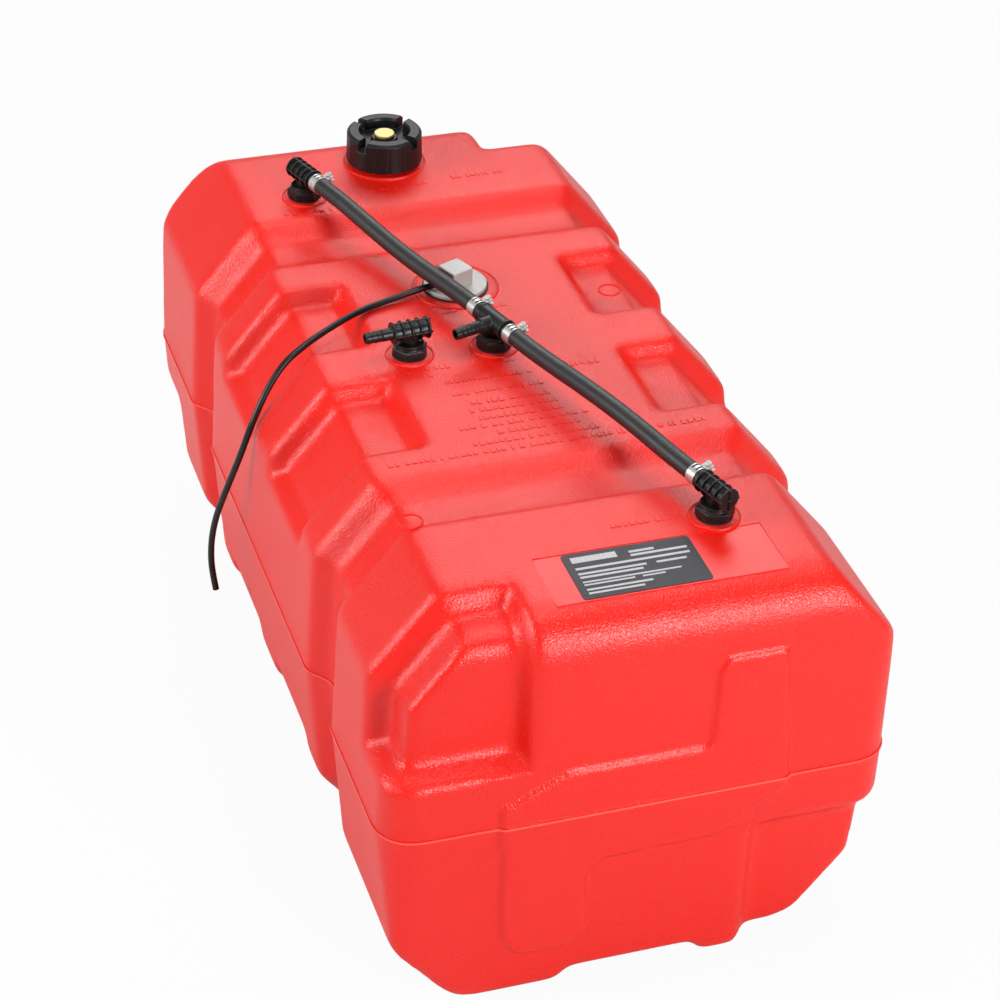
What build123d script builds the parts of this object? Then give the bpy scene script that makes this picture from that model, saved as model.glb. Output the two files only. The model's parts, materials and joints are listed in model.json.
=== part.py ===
"""Portable outboard fuel tank with a vent line, a fuel pick-up, a level sender and a screw cap.

The tank lies along X, its label end at +X. Z is up, Z = 0 is the floor, and X = Y = 0 is the
middle of the moulding. All sizes are in millimetres.
"""

from build123d import *
import os
from functools import lru_cache
from math import atan2, cos, degrees, hypot, pi, radians, sin, tan

os.makedirs("parts", exist_ok=True)

# ---------------------------------------------------------------- tank moulding
half_length = 395.0          # at the parting line, without the raised end bands
half_width = 208.0           # at the parting line
tank_height = 361.0          # floor to the top of the end blocks
parting_height = 180.5       # floor to the parting line
wall = 5.0
upper_draft = 4.8            # how far a side leans in from the parting line to the upper edge
upper_edge = 114.2           # height of the upper edge over the parting line
upper_chamfer = 54.8         # width of the sloping shoulder
lower_draft = 9.1
lower_edge = 112.0
lower_chamfer = 54.0
edge_radius = 17.0           # along the shoulders
base_edge_radius = 50.0      # along the runners' outer edges
end_radius = 38.0            # from the top to an end face
end_base_radius = 9.5        # from the bottom to an end face
corner_radius = 30.0         # upright corners
end_lean = 3.0               # how far an end leans in from the parting line to the top
end_base_lean = 5.0
middle_drop = 4.9            # the middle block's top lies this much lower
flash = 1.2                  # ridge left along the parting line
flash_height = 1.6

groove_inner = 169.8         # edges of the two grooves that run all round
groove_outer = 243.0
groove_depth = 16.5
groove_run = 18.5            # length of a groove's sloping wall
pocket_near = 27.0           # side pockets of the middle block: edges along X
pocket_far = 130.7
pocket_reach = 97.0          # inner end of a side pocket, from the centre line
pocket_foot = 93.5           # lower end of a side pocket, from the parting line
pocket_depth = 16.2
pocket_run = 9.0
corner_start = 328.0         # corner recesses: inner edge along X
corner_reach = 91.0
corner_foot = 48.0
lower_corner_foot = 45.0
corner_depth = 19.5
lower_corner_depth = 11.2
corner_run = 10.0
channel_half = 51.5          # channel between the two runners of the base
channel_depth = 13.0

band_height = 3.5            # raised band on each end face
band_outline = [
    (107.7, 124), (61.5, 124), (54.8, 112.5), (53.8, 51), (45.2, 41.3), (-61.5, 42.3), (-114.9, 16.8),
    (-109.6, -119.2), (-97.1, -135.5), (-55.8, -135.5), (-44.2, -124), (-45.2, -61.5), (-32.2, -49.5),
    (67.3, -46.6), (93.2, -28.8), (117.3, -10.9),
]                            # (Y, height over the parting line), seen on the +X end
band_corner = 4.0

label_seat = (307.0, 367.0, -69.0, 114.5)     # low X, high X, low Y, high Y of the flat for labels
label_seat_depth = 0.9
label_box = (308.5, 365.5, -47.5, 55.0)
label_thickness = 0.5

# ---------------------------------------------------------------- places on the top
cap_x, cap_y = -325.7, -4.0
rear_vent_x, rear_vent_y = -278.0, -92.1
front_vent_x, front_vent_y = 290.2, 83.9
tee_x, tee_y = 2.8, -1.7
fuel_x, fuel_y = -2.0, -73.9
sender_x, sender_y = -98.3, -4.8
fuel_barb_angle = -84.5      # heading of the outlet barb, turned from +X
tee_turn = 17.2              # heading of the tee's run

# ---------------------------------------------------------------- screw-in fittings
pad_radius = 20.8
pad_height = 0.8
port_radius = 9.5
port_boss_radius = 16.0
port_boss_depth = 6.0
thread_clearance = 0.05
seal_thickness = 1.2
seal_radius = 14.5
hex_width = 27.0             # across flats
hex_height = 7.8
hex_chamfer = 1.0
collar_radius = 12.0
collar_height = 3.4
thread_length = 16.0         # below the hexagon
spigot_radius = 6.5
spigot_depth = 9.0
spigot_clearance = 0.05
oring_height = 1.6
oring_section = 1.4
fitting_axis = 23.8          # height of the barbs over the tank's top
neck_radius = 7.2
core_radius = 6.8
head_half = 16.0
rib_radius = 9.5
rib_thickness = 1.7
rib_count = 5
fin_reach = 1.8              # fins stand out this far beyond the last rib
barb_radius = 5.2
barb_root_radius = 4.6
barb_reach = 40.0            # barb's tip from the fitting's upright axis
barb_pitch = 5.0
barb_ridges = 3
duct_radius = 3.2
tee_half = 17.5
tee_radius = 8.6
tee_flange_radius = 9.3
tee_flange = 2.4
tee_root_radius = 7.0
tee_root = 15.0

# ---------------------------------------------------------------- hoses and clamps
hose_radius = 7.5
hose_bore_clearance = 0.05
hose_gap = 0.6               # hose end to the fitting's head
hose_straight = 26.0         # length of hose held straight by a barb
rear_hose_bow = -4.0         # how far the middle of each hose lies off a straight line
front_hose_bow = 3.0
clamp_width = 9.0
clamp_thickness = 0.8
clamp_setback = 7.5          # hose end to the middle of the clamp
clamp_slot_width = 1.8
clamp_slot_length = 6.0
ear_length = 6.5
ear_gap = 3.0
ear_tilt = 18.0
screw_radius = 1.5
screw_reach = 3.6            # screw's axis over the clamp band
screw_head_radius = 2.7
screw_head_height = 2.0
nut_width = 5.0
nut_height = 2.2

# ---------------------------------------------------------------- filler neck and cap
neck_outer = 28.0
neck_bore = 23.5
neck_height = 16.5
cap_pad_radius = 38.4
cap_radius = 34.3
cap_foot_radius = 35.0
cap_gap = 4.4                # cap's lower edge over the tank's top
cap_height = 28.3
thread_gap = 0.6             # cap skirt to neck
gasket_thickness = 2.5
gasket_gap = 0.3
cap_deck_thickness = 3.5
cap_well_radius = 22.5       # inside of the four lugs
slot_width = 8.5
slot_angle = 37.0
cap_lug_chamfer = 2.5
cap_flute_radius = 0.9
flutes_per_lug = 3
cap_boss_radius = 12.0
cap_boss_height = 3.4
liner_radius = 21.0
liner_bore = 8.0
liner_thickness = 5.0
valve_radius = 9.2
valve_thickness = 2.5
valve_stem_radius = 3.0
valve_clearance = 0.08
valve_foot_radius = 5.6
valve_foot_thickness = 1.6
valve_seal_radius = 8.4
valve_seal_thickness = 1.2
spring_wire = 0.8
spring_radius = 4.6
spring_length = 8.0
spring_turns = 4

# ---------------------------------------------------------------- level sender and pick-up
sender_pad_radius = 38.0
sender_radius = 27.3
sender_thickness = 3.0
sender_block = 22.0
sender_block_height = 15.0
sender_block_turn = 22.6
sender_port_radius = 20.0
sender_boss_radius = 26.0
sender_plug_length = 11.0
gasket_plate = 1.5
gasket_radius = 28.6
insert_width = 14.0
insert_height = 8.0
insert_depth = 6.0
insert_proud = 1.2
insert_centre = 9.5          # over the tank's top
gland_radius = 4.0
gland_length = 4.8
stem_radius = 6.0
stem_socket = 6.0
stem_low = 45.0              # stem's lower end over the floor
float_radius = 18.5
float_height = 32.0
float_bore_clearance = 0.3
clip_radius = 9.0
clip_thickness = 3.0
clip_gap = 0.2               # clip to float at its lowest
pickup_radius = 4.0
pickup_bore = 2.8
pickup_socket = 8.0
strainer_low = 12.0          # strainer's lower end over the floor
strainer_radius = 8.0
strainer_height = 24.0
strainer_wall = 1.2
strainer_slots = 6
cable_radius = 2.85
cable_points = [
    (-91.7, -21.7, 365.5), (-90.6, -37.6, 364.0), (-85.6, -67.3, 359.9), (-74.3, -99.2, 359.7),
    (-55.2, -134.4, 355.7), (-43.5, -155.5, 351.4), (-35.0, -173.0, 343.9), (-29.0, -186.7, 329.2),
    (-21.5, -199.1, 311.1), (-16.8, -207.9, 294.7), (-19.5, -215.4, 269.1), (-33.0, -225.3, 227.3),
    (-46.0, -231.3, 194.8), (-55.0, -234.4, 166.0), (-60.0, -234.9, 142.3), (-60.5, -234.0, 122.3),
    (-57.0, -231.9, 105.8),
]

RED = (0.80, 0.08, 0.06)
BLACK = (0.05, 0.05, 0.055)
RUBBER = (0.10, 0.10, 0.105)
STEEL = (0.72, 0.73, 0.75)
BRASS = (0.80, 0.62, 0.28)
ALLOY = (0.78, 0.78, 0.78)

END = 600.0                  # beyond every face of the tank
middle_top = tank_height - middle_drop


def export(part, node, colour):
    part.label = node
    part.color = Color(*colour)
    export_step(part, f"parts/{node}.step")


# ================================================================ tank
def inset_outline(points, inset):
    """Move each edge of a closed, convex, anticlockwise outline inwards."""
    edges = []
    for (x0, y0), (x1, y1) in zip(points, points[1:] + points[:1]):
        length = hypot(x1 - x0, y1 - y0)
        nx, ny = (y0 - y1) / length, (x1 - x0) / length
        edges.append((nx, ny, nx * x0 + ny * y0 + inset))
    moved = []
    for (a, b, c), (d, e, f) in zip(edges[-1:] + edges[:-1], edges):
        det = a * e - b * d
        moved.append(((c * e - b * f) / det, (a * f - c * d) / det))
    return moved


def outline_face(points, rounding):
    """A face of the outline; rounding gives a radius, or none, for each of its corners."""
    face = make_face(Polyline(*points, close=True))
    for radius in sorted({r for r in rounding if r}):
        chosen = [p for p, r in zip(points, rounding) if r == radius]
        corners = [v for v in face.vertices() if any((v.X - x) ** 2 + (v.Y - y) ** 2 < 1e-4
                                                     for x, y in chosen)]
        face = fillet(corners, radius)
    return face


@lru_cache(maxsize=None)
def cross_section(inset=0.0, drop=0.0):
    """The eight-sided section across the tank, in local X = Y, Y = Z."""
    top = tank_height - drop
    slope = upper_chamfer / (tank_height - parting_height - upper_edge)
    side = [
        (half_width - lower_draft - lower_chamfer, 0.0),
        (half_width - lower_draft, parting_height - lower_edge),
        (half_width, parting_height),
        (half_width - upper_draft, parting_height + upper_edge),
        (half_width - upper_draft - upper_chamfer + slope * drop, top),
    ]
    points = inset_outline(side + [(-y, z) for y, z in reversed(side)], inset)
    radius = max(edge_radius - 0.5 * inset, 4.0)
    base = max(base_edge_radius - inset, 5.0)
    return outline_face(points, [base, radius, 0, radius, radius, radius, radius, 0, radius, base])


@lru_cache(maxsize=None)
def end_profile(inset=0.0, drop=0.0):
    """The outline seen from the side, in local X = X, Y = Z."""
    top = tank_height - drop
    side = [(half_length - end_base_lean, 0.0), (half_length, parting_height), (half_length - end_lean, top)]
    points = inset_outline(side + [(-x, z) for x, z in reversed(side)], inset)
    low, high = max(end_base_radius - inset, 4.0), max(end_radius - inset, 4.5)
    return outline_face(points, [low, 0, high, high, 0, low])


@lru_cache(maxsize=None)
def plan(inset=0.0):
    """The outline seen from above."""
    return RectangleRounded(2 * (half_length - inset), 2 * (half_width - inset), max(corner_radius - inset, 4.0))


def across(x, inset, drop=0.0):
    return Pos(x, 0, 0) * (Plane.YZ * cross_section(inset, drop))


def along(y, inset, drop=0.0):
    return Pos(0, y, 0) * (Plane.XZ * end_profile(inset, drop))


def level(z, inset):
    return Pos(0, 0, z) * plan(inset)


@lru_cache(maxsize=None)
def block(inset=0.0, drop=0.0):
    """The plain long block, set in by inset, with no groove, pocket or recess."""
    body = extrude(level(-END, inset), 2 * END + tank_height, dir=(0, 0, 1))
    body &= extrude(across(-END, inset, drop), 2 * END, dir=(1, 0, 0))
    body &= extrude(along(-END, inset, drop), 2 * END, dir=(0, 1, 0))
    if len(body.solids()) != 1:
        raise ValueError(f"no block at inset {inset}, drop {drop}: change the inset a little")
    return body


def box_between(low, high):
    centre = [(a + b) / 2 for a, b in zip(low, high)]
    return Pos(*centre) * Box(*[b - a for a, b in zip(low, high)])


def recess(low, high, depth, run, inset=0.0, drop=0.0):
    """What a recess takes away: the box from low to high, down to the block set in by depth.

    A face of the box that lies inside the tank becomes a wall that slopes by run.
    """
    low = [v - inset for v in low]
    high = [v + inset for v in high]
    core = [block(inset + depth, drop)]
    for sketch, index, inside in ((across, 0, half_length), (along, 1, half_width)):
        for edge, step in ((low[index], 1), (high[index], -1)):
            if abs(edge) < inside:
                core.append(loft([sketch(edge, inset, drop), sketch(edge + step * run, inset + depth, drop)]))
    for edge, step in ((low[2], 1), (high[2], -1)):
        if 0 < edge < tank_height:
            core.append(loft([level(edge, inset), level(edge + step * run, inset + depth)]))
    return box_between(low, high) - core


def groove(inset=0.0):
    """The groove all round the tank at +X; its inner edge meets the lower middle block."""
    low, high = groove_inner - inset, groove_outer + inset
    floor = inset + groove_depth
    middle = loft([across(low, inset, middle_drop), across(low + groove_run, floor)])
    outer = loft([across(high, inset), across(high - groove_run, floor)])
    core = extrude(across(low + groove_run, floor), high - low - 2 * groove_run, dir=(1, 0, 0))
    return box_between((low, -END, -END), (high, END, END)) - [middle, outer, core]


def half_turn(shape):
    return Rot(0, 0, 180) * shape


def skin(inset=0.0):
    """The tank's outer face for inset 0, and its cavity for inset = wall."""
    upper, lower = parting_height + pocket_foot, parting_height - pocket_foot
    cuts = [groove(inset)]
    for low_x, high_x in ((pocket_near, pocket_far), (-pocket_far, -pocket_near)):
        cuts.append(recess((low_x, -END, upper), (high_x, -pocket_reach, END), pocket_depth, pocket_run, inset,
                           middle_drop))
        cuts.append(recess((low_x, -END, -END), (high_x, -pocket_reach, lower), pocket_depth, pocket_run, inset))
    cuts.append(recess((corner_start, -END, parting_height + corner_foot), (END, -corner_reach, END),
                       corner_depth, corner_run, inset))
    cuts.append(recess((corner_start, corner_reach, -END), (END, END, parting_height - lower_corner_foot),
                       lower_corner_depth, corner_run, inset))
    cuts += [half_turn(cut) for cut in cuts]
    middle = groove_inner + inset
    cuts.append(box_between((-middle, -END, middle_top - inset), (middle, END, END)))
    rise = channel_depth + inset
    channel = Polyline((-channel_half - rise, -1), (channel_half + rise, -1), (channel_half, rise),
                       (-channel_half, rise), close=True)
    cuts.append(extrude(Pos(-END, 0, 0) * (Plane.YZ * make_face(channel)), 2 * END, dir=(1, 0, 0)))
    return block(inset) - cuts


def cylinder(radius, low, high):
    return Pos(0, 0, low) * Cylinder(radius, high - low, align=(Align.CENTER, Align.CENTER, Align.MIN))


def ring(outer, inner, low, high):
    return cylinder(outer, low, high) - cylinder(inner, low - 1, high + 1)


def end_band(extra=0.0):
    """The raised band on the +X end face."""
    outline = [(y, parting_height + z) for y, z in band_outline]
    face = outline_face(outline, [band_corner] * len(outline))
    prism = extrude(Pos(half_length - 40, 0, 0) * (Plane.YZ * face), 80, dir=(1, 0, 0))
    return prism & block(-band_height - extra)


def seam_ridge():
    """The flash that runs all round along the parting line."""
    half = flash_height / 2
    slab = box_between((-END, -END, parting_height - half), (END, END, parting_height + half))
    cut = groove(-flash)
    band = end_band(flash) & slab
    return (block(-flash) & slab) - [cut, half_turn(cut)] + [band, half_turn(band)]


ports = {
    "rear_vent": (rear_vent_x, rear_vent_y, tank_height),
    "front_vent": (front_vent_x, front_vent_y, tank_height),
    "tee": (tee_x, tee_y, middle_top),
    "fuel": (fuel_x, fuel_y, middle_top),
}
sender_place = Pos(sender_x, sender_y, middle_top)
cap_place = Pos(cap_x, cap_y, tank_height)


def tank_body():
    body = skin()
    band = end_band()
    seat_top = tank_height - label_seat_depth
    low_x, high_x, low_y, high_y = label_seat
    body += [band, half_turn(band), box_between((low_x, low_y, seat_top - 10), (high_x, high_y, seat_top))]
    pads = [Pos(*place) * cylinder(pad_radius, -3, pad_height) for place in ports.values()]
    pads.append(sender_place * cylinder(sender_pad_radius, -3, pad_height))
    pads.append(cap_place * cylinder(cap_pad_radius, -6, pad_height))
    pads.append(cap_place * cylinder(neck_outer, -4, neck_height))
    body += [seam_ridge()] + pads
    body -= box_between((low_x, low_y, seat_top), (high_x, high_y, seat_top + 5))
    body -= skin(wall)
    bosses = [Pos(*place) * cylinder(port_boss_radius, -wall - port_boss_depth, -2) for place in ports.values()]
    bosses.append(sender_place * cylinder(sender_boss_radius, -wall - port_boss_depth, -2))
    body += bosses
    bores = [Pos(*place) * cylinder(port_radius, -30, 5) for place in ports.values()]
    bores.append(sender_place * cylinder(sender_port_radius, -30, 5))
    bores.append(cap_place * cylinder(neck_bore, -30, neck_height + 5))
    return body - bores


# ================================================================ screw-in fittings
seat_level = pad_height + seal_thickness
collar_top = seat_level + hex_height + collar_height


def port_seal():
    return ring(seal_radius, port_radius + 0.3, pad_height, seat_level)


def adapter(socket=0.0):
    """Hexagon, collar and threaded shank; socket is the depth of a bore for the pick-up tube."""
    nut = extrude(Pos(0, 0, seat_level) * RegularPolygon(hex_width / 2, 6, major_radius=False), hex_height)
    nut = chamfer(nut.faces().sort_by(Axis.Z)[-1].edges(), hex_chamfer)
    low = seat_level - thread_length
    body = nut + cylinder(collar_radius, seat_level, collar_top)
    body += cylinder(port_radius - thread_clearance, low, seat_level)
    body -= cylinder(spigot_radius + spigot_clearance, collar_top - spigot_depth, collar_top + 1)
    body -= cylinder(duct_radius, low - 1, collar_top)
    if socket:
        body -= cylinder(pickup_radius, low - 1, low + socket)
    return body


def port_oring():
    low = collar_top - spigot_depth + 0.1
    return ring(spigot_radius, spigot_radius - oring_section, low, low + oring_height)


def barb(root, reach):
    """A hose barb along +X: a plain land, then ridges whose steep sides face the head."""
    points = [(root, 0), (root, barb_radius)]
    for index in range(barb_ridges):
        start = reach - barb_pitch * (barb_ridges - index)
        points.append((start, barb_radius))
        if index == 0:
            points += [(start + 0.8, barb_root_radius), (start + 1.4, barb_root_radius), (start + 1.4, barb_radius)]
        points += [(start + barb_pitch, barb_root_radius)]
    points += [(reach, 0)]
    return revolve(make_face(Polyline(*points, close=True)), Axis.X)


def lying(radius, start, end):
    """A cylinder along X."""
    return Pos(start, 0, 0) * Rot(0, 90, 0) * cylinder(radius, 0, end - start)


def spigot():
    """The upright stub that goes down into an adapter, with its seat for the ring."""
    low = collar_top - spigot_depth
    stub = cylinder(spigot_radius, low + oring_height + 0.2, collar_top + 1)
    stub += cylinder(spigot_radius - oring_section - 0.05, low + 0.3, collar_top)
    return stub + cylinder(neck_radius, collar_top + 0.1, fitting_axis)


def upright_duct():
    return cylinder(duct_radius, collar_top - spigot_depth - 1, fitting_axis)


def elbow():
    """A ribbed right-angle barb along +X."""
    head = lying(core_radius, -head_half, head_half)
    pitch = (2 * head_half - rib_thickness) / (rib_count - 1)
    for index in range(rib_count):
        start = -head_half + index * pitch
        head += lying(rib_radius, start, start + rib_thickness)
    fin_length = 2 * head_half + fin_reach
    for width, height in ((rib_thickness, 2 * rib_radius - 1.0), (2 * rib_radius - 1.0, rib_thickness)):
        head += Pos(-fin_reach / 2, 0, 0) * Box(fin_length, width, height)
    head += barb(head_half - 1, barb_reach)
    body = spigot() + Pos(0, 0, fitting_axis) * head
    return body - [upright_duct(), Pos(0, 0, fitting_axis) * lying(duct_radius, 0, barb_reach + 1)]


def tee():
    """The vent tee: a run along X with a barb at each end, and an outlet barb along -Y."""
    head = lying(tee_radius, -tee_half, tee_half)
    for start in (-tee_half, tee_half - tee_flange):
        head += lying(tee_flange_radius, start, start + tee_flange)
    outlet = Rot(0, 0, -90)
    head += outlet * lying(tee_root_radius, 0, tee_root)
    for turn in (0, 180):
        head += Rot(0, 0, turn) * barb(tee_half - 1, barb_reach)
    head += outlet * barb(tee_root - 1, barb_reach)
    body = spigot() + Pos(0, 0, fitting_axis) * head
    ducts = [lying(duct_radius, -barb_reach - 1, barb_reach + 1), outlet * lying(duct_radius, 0, barb_reach + 1)]
    return body - [upright_duct()] - [Pos(0, 0, fitting_axis) * duct for duct in ducts]


# ================================================================ hoses and clamps
def heading(start, end):
    return degrees(atan2(end[1] - start[1], end[0] - start[0]))


def step(point, angle, distance):
    return (point[0] + distance * cos(radians(angle)), point[1] + distance * sin(radians(angle)), point[2])


def raised(name):
    x, y, z = ports[name]
    return (x, y, z + fitting_axis)


rear_turn = heading(ports["rear_vent"], ports["tee"])
front_turn = heading(ports["tee"], ports["front_vent"])
rear_start = step(raised("rear_vent"), rear_turn, head_half + hose_gap)
rear_end = step(raised("tee"), tee_turn, -tee_half - hose_gap)
front_start = step(raised("tee"), tee_turn, tee_half + hose_gap)
front_end = step(raised("front_vent"), front_turn, -head_half - hose_gap)


def hose_path(start, start_turn, end, end_turn, bow):
    """A straight piece over each barb, and between them a curve whose middle is bowed up or down."""
    first = step(start, start_turn, hose_straight)
    last = step(end, end_turn, -hose_straight)
    fifth = (Vector(*last) - Vector(*first)).length / 5
    lift = Vector(0, 0, bow / 0.625)
    controls = [
        first, step(first, start_turn, fifth), Vector(*step(first, start_turn, 2 * fifth)) + lift,
        Vector(*step(last, end_turn, -2 * fifth)) + lift, step(last, end_turn, -fifth), last,
    ]
    return [Line(start, first), Bezier(*controls), Line(last, end)]


def tube_along(path, radius):
    return sweep(Plane(origin=path @ 0, z_dir=path % 0) * Circle(radius), path=path)


def hose(*ends):
    outer = [tube_along(path, hose_radius) for path in hose_path(*ends)]
    inner = [tube_along(path, barb_radius + hose_bore_clearance) for path in hose_path(*ends)]
    return (outer[0] + outer[1:]) - inner


clamp_places = {
    "rear_vent_clamp": (step(rear_start, rear_turn, clamp_setback), rear_turn),
    "rear_tee_clamp": (step(rear_end, tee_turn, -clamp_setback), tee_turn),
    "front_tee_clamp": (step(front_start, tee_turn, clamp_setback), tee_turn),
    "front_vent_clamp": (step(front_end, front_turn, -clamp_setback), front_turn),
}
clamp_outer = hose_radius + clamp_thickness
ear_place = Rot(ear_tilt, 0, 0)
screw_line = clamp_outer + screw_reach
ear_back = ear_gap / 2 + clamp_thickness


def clamp_at(name):
    place, turn = clamp_places[name]
    return Pos(*place) * Rot(0, 0, turn)


def clamp():
    """A band round a hose along X, with a bolted ear on its +Y side."""
    band = lying(clamp_outer, -clamp_width / 2, clamp_width / 2)
    ears = []
    for side in (-1, 1):
        centre = side * (ear_gap + clamp_thickness) / 2
        ears.append(Pos(0, hose_radius + 0.1 + ear_length / 2, centre) * Box(clamp_width, ear_length, clamp_thickness))
    band += [ear_place * ear for ear in ears]
    band -= lying(hose_radius, -clamp_width, clamp_width)
    band -= ear_place * (Pos(0, clamp_outer, 0) * Box(2 * clamp_width, 2 * ear_length, ear_gap))
    for side in (-1, 1):
        slot = Box(clamp_slot_width, clamp_slot_length, 4) + [
            Pos(0, end * clamp_slot_length / 2, 0) * Cylinder(clamp_slot_width / 2, 4) for end in (-1, 1)]
        band -= Pos(side * clamp_width / 4, 0, hose_radius) * slot
    return band - ear_place * (Pos(0, screw_line, 0) * Cylinder(screw_radius + 0.1, 20))


def clamp_screw():
    shank = cylinder(screw_radius, -ear_back - nut_height - 0.8, ear_back)
    head = cylinder(screw_head_radius, ear_back, ear_back + screw_head_height)
    head -= Pos(0, 0, ear_back + screw_head_height) * Box(8, 0.8, 1.2)
    return ear_place * (Pos(0, screw_line, 0) * (shank + head))


def clamp_nut():
    nut = extrude(RegularPolygon(nut_width / 2, 6, major_radius=False), -nut_height)
    nut -= cylinder(screw_radius, -nut_height - 1, 1)
    return ear_place * (Pos(0, screw_line, -ear_back) * nut)


# ================================================================ filler cap, built over the tank's top
neck_rim = neck_height
deck_low = neck_rim + gasket_thickness
deck_high = deck_low + cap_deck_thickness
cap_top = cap_gap + cap_height
skirt_bore = neck_outer + thread_gap
boss_top = deck_high + cap_boss_height
valve_low = boss_top + valve_seal_thickness
foot_top = deck_low - spring_length


def filler_cap():
    profile = [
        (0, deck_low), (skirt_bore, deck_low), (skirt_bore, cap_gap), (cap_foot_radius, cap_gap),
        (cap_radius, cap_top - cap_lug_chamfer), (cap_radius - cap_lug_chamfer, cap_top),
        (cap_well_radius + cap_lug_chamfer / 2, cap_top), (cap_well_radius, cap_top - cap_lug_chamfer),
        (cap_well_radius, deck_high), (cap_boss_radius, deck_high), (cap_boss_radius - 0.6, boss_top), (0, boss_top),
    ]
    body = revolve(make_face(Plane.XZ * Polyline(*profile, close=True)), Axis.Z)
    slot_height = cap_top - deck_high + 1
    for index in range(4):
        centre = Pos(cap_radius, 0, deck_high + slot_height / 2)
        body -= Rot(0, 0, slot_angle + 90 * index) * centre * Box(2 * (cap_radius - 14), slot_width, slot_height)
    spread = 90 / (flutes_per_lug + 1)
    for index in range(4 * (flutes_per_lug + 1)):
        if index % (flutes_per_lug + 1):
            turn = Rot(0, 0, slot_angle + spread * index)
            body -= turn * Pos(cap_foot_radius, 0, 0) * cylinder(cap_flute_radius, cap_gap - 1, cap_top + 1)
    return body - cylinder(valve_stem_radius + valve_clearance, 0, cap_top)


def relief_valve():
    valve = cylinder(valve_radius, valve_low, valve_low + valve_thickness)
    valve = chamfer(valve.faces().sort_by(Axis.Z)[-1].edges(), 0.5)
    valve += cylinder(valve_stem_radius, foot_top - valve_foot_thickness, valve_low)
    return valve + cylinder(valve_foot_radius, foot_top - valve_foot_thickness, foot_top)


def relief_spring():
    height = spring_length - spring_wire - 0.1
    path = Helix(height / spring_turns, height, spring_radius)
    plane = Plane(origin=path @ 0, z_dir=path % 0)
    coil = sweep(plane * Circle(spring_wire / 2), path=path, is_frenet=True)
    return Pos(0, 0, foot_top + spring_wire / 2 + 0.05) * coil


# ================================================================ level sender, built over the middle's top
flange_low = pad_height + gasket_plate
flange_high = flange_low + sender_thickness
plug_low = flange_low - sender_plug_length
block_turn = Rot(0, 0, sender_block_turn)


def insert_box(width, height, low_y, high_y):
    return block_turn * box_between((-width / 2, low_y, insert_centre - height / 2),
                                    (width / 2, high_y, insert_centre + height / 2))


def sender_head():
    head = cylinder(sender_radius, flange_low, flange_high)
    head = chamfer(head.faces().sort_by(Axis.Z)[-1].edges(), 0.6)
    top = Pos(0, 0, flange_high) * Box(sender_block, sender_block, sender_block_height,
                                       align=(Align.CENTER, Align.CENTER, Align.MIN))
    top = fillet(top.edges().filter_by(Axis.Z), 2.0)
    top = chamfer(top.faces().sort_by(Axis.Z)[-1].edges(), 0.8)
    head += block_turn * top
    head += cylinder(sender_port_radius - thread_clearance, plug_low, flange_low)
    head -= cylinder(stem_radius, plug_low - 1, plug_low + stem_socket)
    back = -sender_block / 2 + insert_depth
    return head - insert_box(insert_width, insert_height, -sender_block, back)


def sender_insert():
    back = -sender_block / 2 + insert_depth
    face = -sender_block / 2 - insert_proud
    body = insert_box(insert_width, insert_height, face, back)
    gland = Pos(0, face, insert_centre) * Rot(90, 0, 0) * cylinder(gland_radius, -1, gland_length)
    return body + block_turn * gland


def corner_radii(points):
    """For each bend, the radius that uses nine tenths of its shorter run."""
    radii = []
    for a, b, c in zip(points, points[1:], points[2:]):
        before, after = Vector(*b) - Vector(*a), Vector(*c) - Vector(*b)
        half = radians(before.get_angle(after)) / 2
        radii.append(0.45 * min(before.length, after.length) / tan(half))
    return radii


def strainer():
    high = strainer_low + strainer_height
    basket = cylinder(strainer_radius, strainer_low, high)
    basket -= cylinder(strainer_radius - strainer_wall, strainer_low + strainer_wall, high - 6)
    basket -= cylinder(pickup_radius, strainer_low + 6, high + 1)
    for index in range(strainer_slots):
        centre = Pos(strainer_radius, 0, strainer_low + 9)
        basket -= Rot(0, 0, 360 * index / strainer_slots) * centre * Box(6, 2.4, 12)
    return basket


# ================================================================ all the pieces
export(tank_body(), "tank_body", RED)

low_x, high_x, low_y, high_y = label_box
seat_top = tank_height - label_seat_depth
export(box_between((low_x, low_y, seat_top), (high_x, high_y, seat_top + label_thickness)), "label_plate",
       (0.12, 0.12, 0.125))

turns = {"rear_vent": rear_turn, "front_vent": front_turn + 180, "tee": tee_turn, "fuel": fuel_barb_angle}
for name, place in ports.items():
    at = Pos(*place) * Rot(0, 0, turns[name])
    export(at * port_seal(), f"{name}_seal", RUBBER)
    export(at * adapter(pickup_socket if name == "fuel" else 0.0), f"{name}_adapter", BLACK)
    export(at * port_oring(), f"{name}_oring", RUBBER)
    export(at * (tee() if name == "tee" else elbow()), "tee_body" if name == "tee" else f"{name}_elbow", BLACK)

hose_ends = {
    "rear_hose": (rear_start, rear_turn, rear_end, tee_turn, rear_hose_bow),
    "front_hose": (front_start, tee_turn, front_end, front_turn, front_hose_bow),
}
for name, ends in hose_ends.items():
    export(hose(*ends), name, RUBBER)
for name in clamp_places:
    export(clamp_at(name) * clamp(), name, STEEL)
export(Compound(children=[clamp_at(name) * clamp_screw() for name in clamp_places]), "clamp_screws", STEEL)
export(Compound(children=[clamp_at(name) * clamp_nut() for name in clamp_places]), "clamp_nuts", STEEL)

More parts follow.
